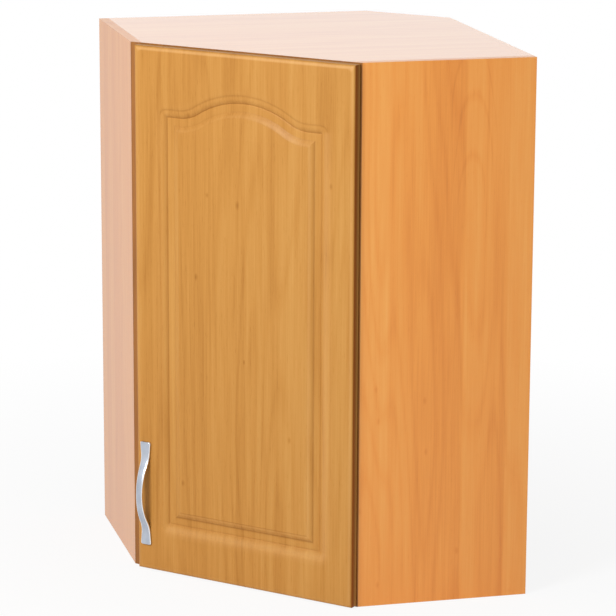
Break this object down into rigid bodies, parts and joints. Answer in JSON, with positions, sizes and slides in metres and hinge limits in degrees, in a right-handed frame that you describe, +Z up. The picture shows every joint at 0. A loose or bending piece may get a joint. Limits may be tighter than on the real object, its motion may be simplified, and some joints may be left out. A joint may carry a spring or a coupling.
{
  "type": "corner wall cabinet",
  "caption": "Corner wall cabinet with a diagonal hinged door, arched door panel, wavy bow handle, shelves and cabinet hangers.",
  "frame": {"origin": "on the underside, under the middle of the square that the two walls and the side panels span", "axes": "+X towards the right-hand wall, +Y towards the back wall, +Z up; the door faces -X-Y"},
  "size_m": [0.6085, 0.6096, 0.9],
  "materials": {
    "laminate": "satin",
    "edge_band": "satin",
    "hardboard": "matt",
    "door_foil": "satin",
    "handle_metal": "satin",
    "steel": "plated",
    "zinc": "cast",
    "beech": "matt",
    "white_plastic": "matt",
    "bumper": "soft"
  },
  "bodies": {
    "carcass": {"left_side": "laminate", "right_side": "laminate", "top_panel": "laminate", "bottom_panel": "laminate", "corner_post": "laminate", "lower_shelf": "laminate", "upper_shelf": "laminate", "left_back_panel": "hardboard", "right_back_panel": "hardboard", "front_edge_bands": "edge_band", "shelf_edge_bands": "edge_band", "shelf_pins": "steel", "cam_locks": "zinc", "cam_bolts": "steel", "wood_dowels": "beech", "hinge_arm_pins": "steel", "plate_screws": "steel", "arm_screws": "steel", "hanger_screws": "steel", "lower_hinge_arm": "steel", "lower_hinge_plate": "zinc", "upper_hinge_arm": "steel", "upper_hinge_plate": "zinc", "left_hanger_housing": "white_plastic", "left_hanger_hook": "steel", "left_wall_plate": "steel", "right_hanger_housing": "white_plastic", "right_hanger_hook": "steel", "right_wall_plate": "steel"},
    "door": {"door_panel": "door_foil", "handle": "handle_metal", "handle_screws": "steel", "door_bumpers": "bumper", "lower_hinge_cup": "steel", "upper_hinge_cup": "steel", "hinge_cup_pins": "steel", "cup_screws": "steel"},
    "outer_links": {"lower_outer_link": "steel", "upper_outer_link": "steel"},
    "inner_links": {"lower_inner_link": "steel", "upper_inner_link": "steel"}
  },
  "joints": [
    {"name": "outer_link_swing", "type": "hinge", "parent": "carcass", "child": "outer_links", "pos_m": [-0.00252, -0.27904, 0], "axis": [0, 0, 1], "range_deg": [-28.2, 0]},
    {"name": "door_swing", "type": "hinge", "parent": "outer_links", "child": "door", "pos_m": [-0.00223, -0.29838, 0], "axis": [0, 0, 1], "range_deg": [0, 123]},
    {"name": "inner_link_swing", "type": "hinge", "parent": "carcass", "child": "inner_links", "pos_m": [-0.03066, -0.25581, 0], "axis": [0, 0, 1], "range_deg": [-19, 0]}
  ],
  "couplings": [
    {"joint": "outer_link_swing", "follows": "door_swing", "ratio": -0.2278},
    {"joint": "inner_link_swing", "follows": "door_swing", "ratio": -0.1529}
  ]
}
